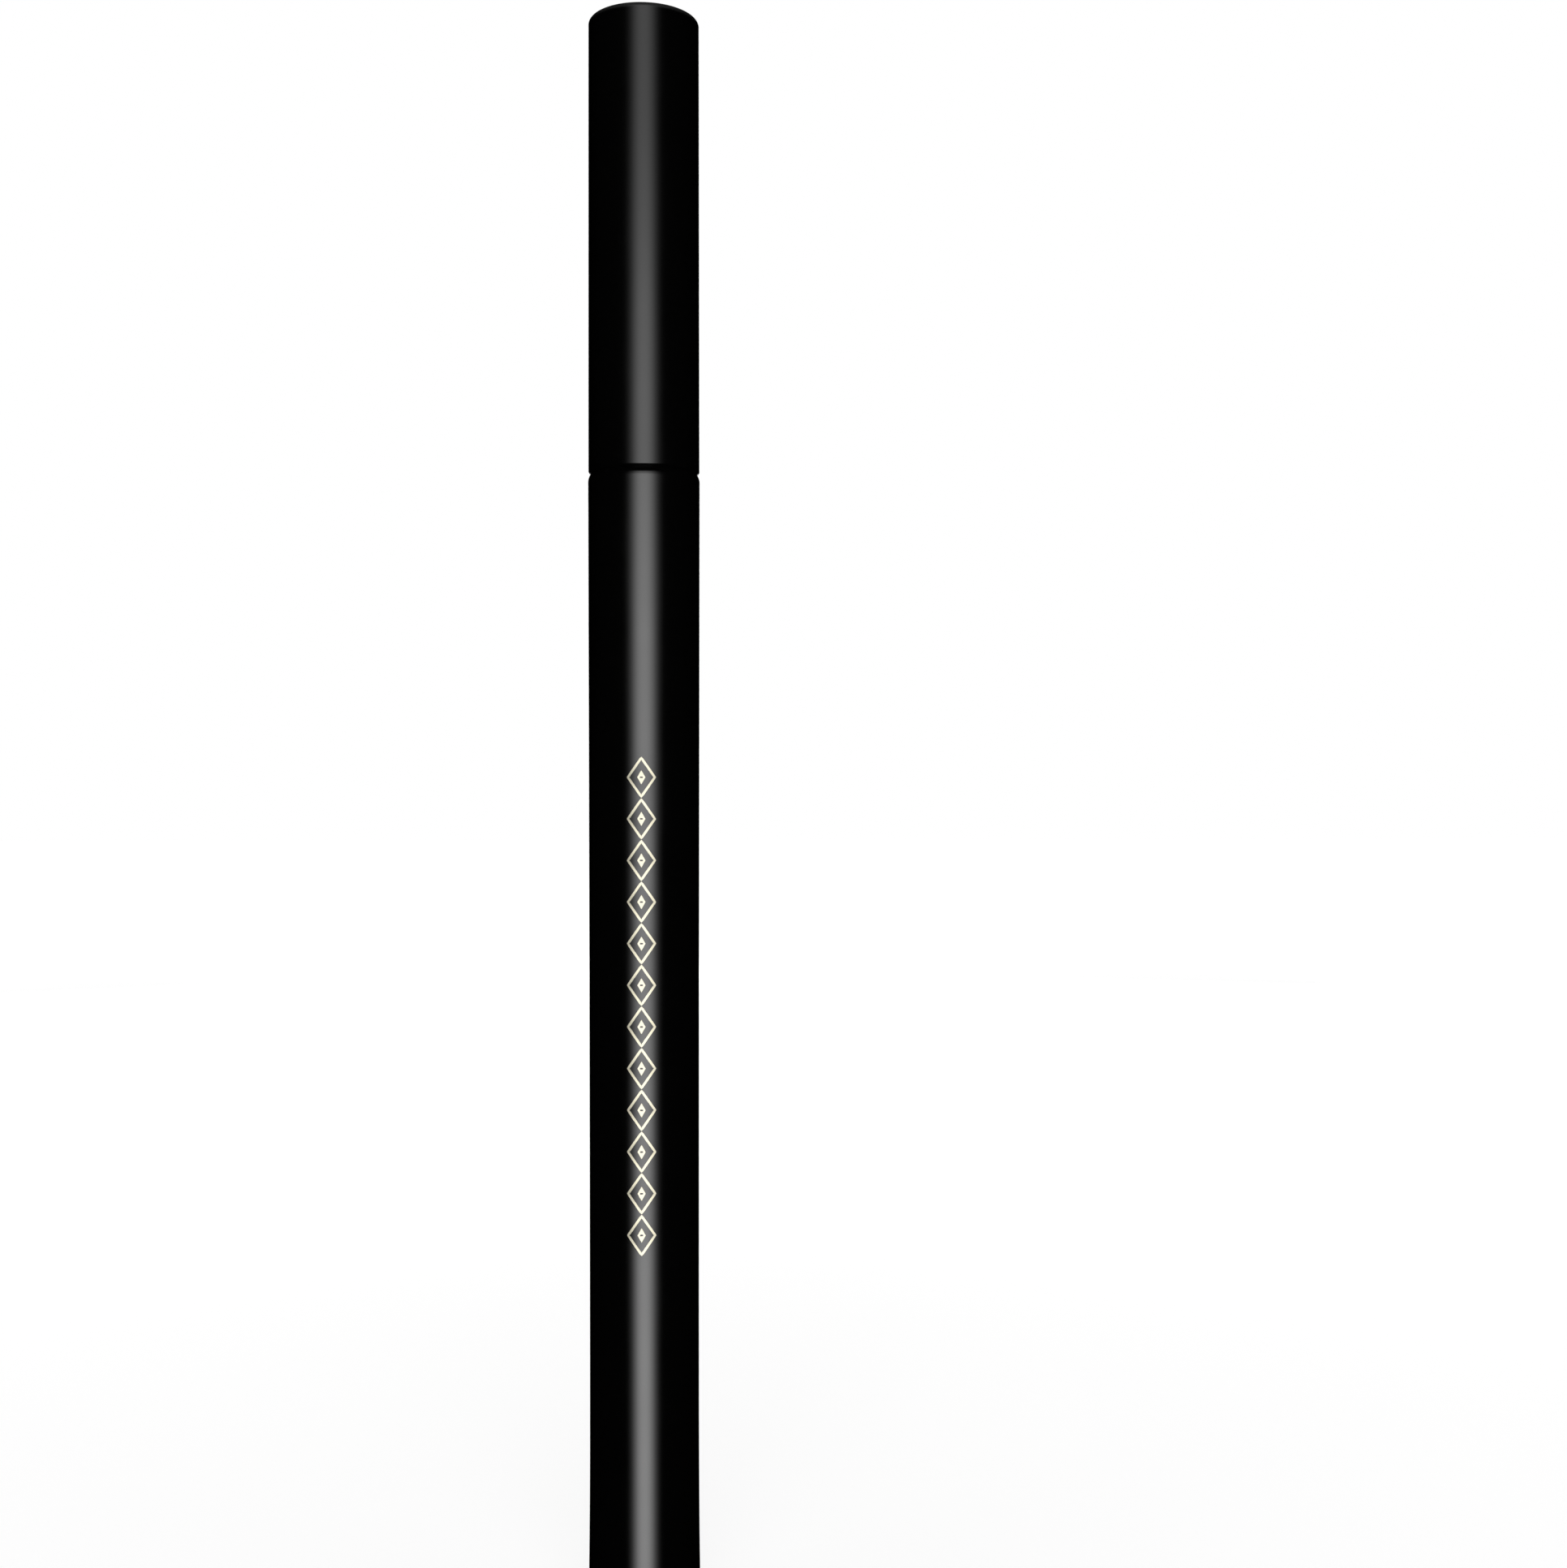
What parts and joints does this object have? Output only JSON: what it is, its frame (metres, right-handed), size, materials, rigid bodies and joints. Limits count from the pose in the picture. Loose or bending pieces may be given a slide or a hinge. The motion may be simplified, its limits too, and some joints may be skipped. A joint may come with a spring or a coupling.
{
  "type": "liquid eyeliner pen",
  "caption": "Slim black capped pen holding liquid eyeliner: a pull-off cap with a sprung inner seal over a tapering neck and a pointed fine brush, on a long barrel.",
  "frame": {"origin": "middle of the tail's flat end, on which the pen stands, on the pen's long axis", "axes": "+Z along the long axis from the tail to the cap's flat top; the pen is round, so X and Y are alike"},
  "size_m": [0.01, 0.01, 0.143],
  "materials": {
    "black_gloss_plastic": "moulded plastic, soft gloss",
    "black_neck_plastic": "moulded plastic, gloss",
    "natural_polypropylene": "uncoloured, milky",
    "black_elastomer": "matt",
    "polished_steel": "bright drawn wire and ball",
    "white_fibre": "bonded fibre",
    "inked_bristle": "fine tapered filaments wet with black liner"
  },
  "bodies": {
    "pen_body": {"barrel": "black_gloss_plastic", "tail_cap": "black_gloss_plastic", "ink_tank": "natural_polypropylene", "tank_stopper": "natural_polypropylene", "stopper_seal_ring": "black_elastomer", "front_section": "black_neck_plastic", "section_seal_ring": "black_elastomer", "tank_gland": "black_elastomer", "collector": "natural_polypropylene", "feed_pipe": "natural_polypropylene", "relay_core": "white_fibre", "overflow_sponge": "white_fibre", "brush_collar": "natural_polypropylene", "brush_tip": "inked_bristle"},
    "ball_body": {"agitator_ball": "polished_steel"},
    "cap_body": {"cap_shell": "black_gloss_plastic", "cap_liner": "natural_polypropylene", "seal_spring": "polished_steel"},
    "seal_cup_body": {"seal_cup": "natural_polypropylene", "seal_gasket": "black_elastomer"}
  },
  "joints": [
    {"name": "cap_pull", "type": "slide", "parent": "pen_body", "child": "cap_body", "axis": [0, 0, 1], "range_m": [0, 0.06]},
    {"name": "seal_press", "type": "slide", "parent": "cap_body", "child": "seal_cup_body", "axis": [0, 0, 1], "range_m": [0, 0.0012], "stiffness_N_per_m": 60, "springref_m": -0.001, "deforming": ["seal_spring"]},
    {"name": "ball_travel", "type": "slide", "parent": "pen_body", "child": "ball_body", "axis": [0, 0, 1], "range_m": [0, 0.056]}
  ]
}
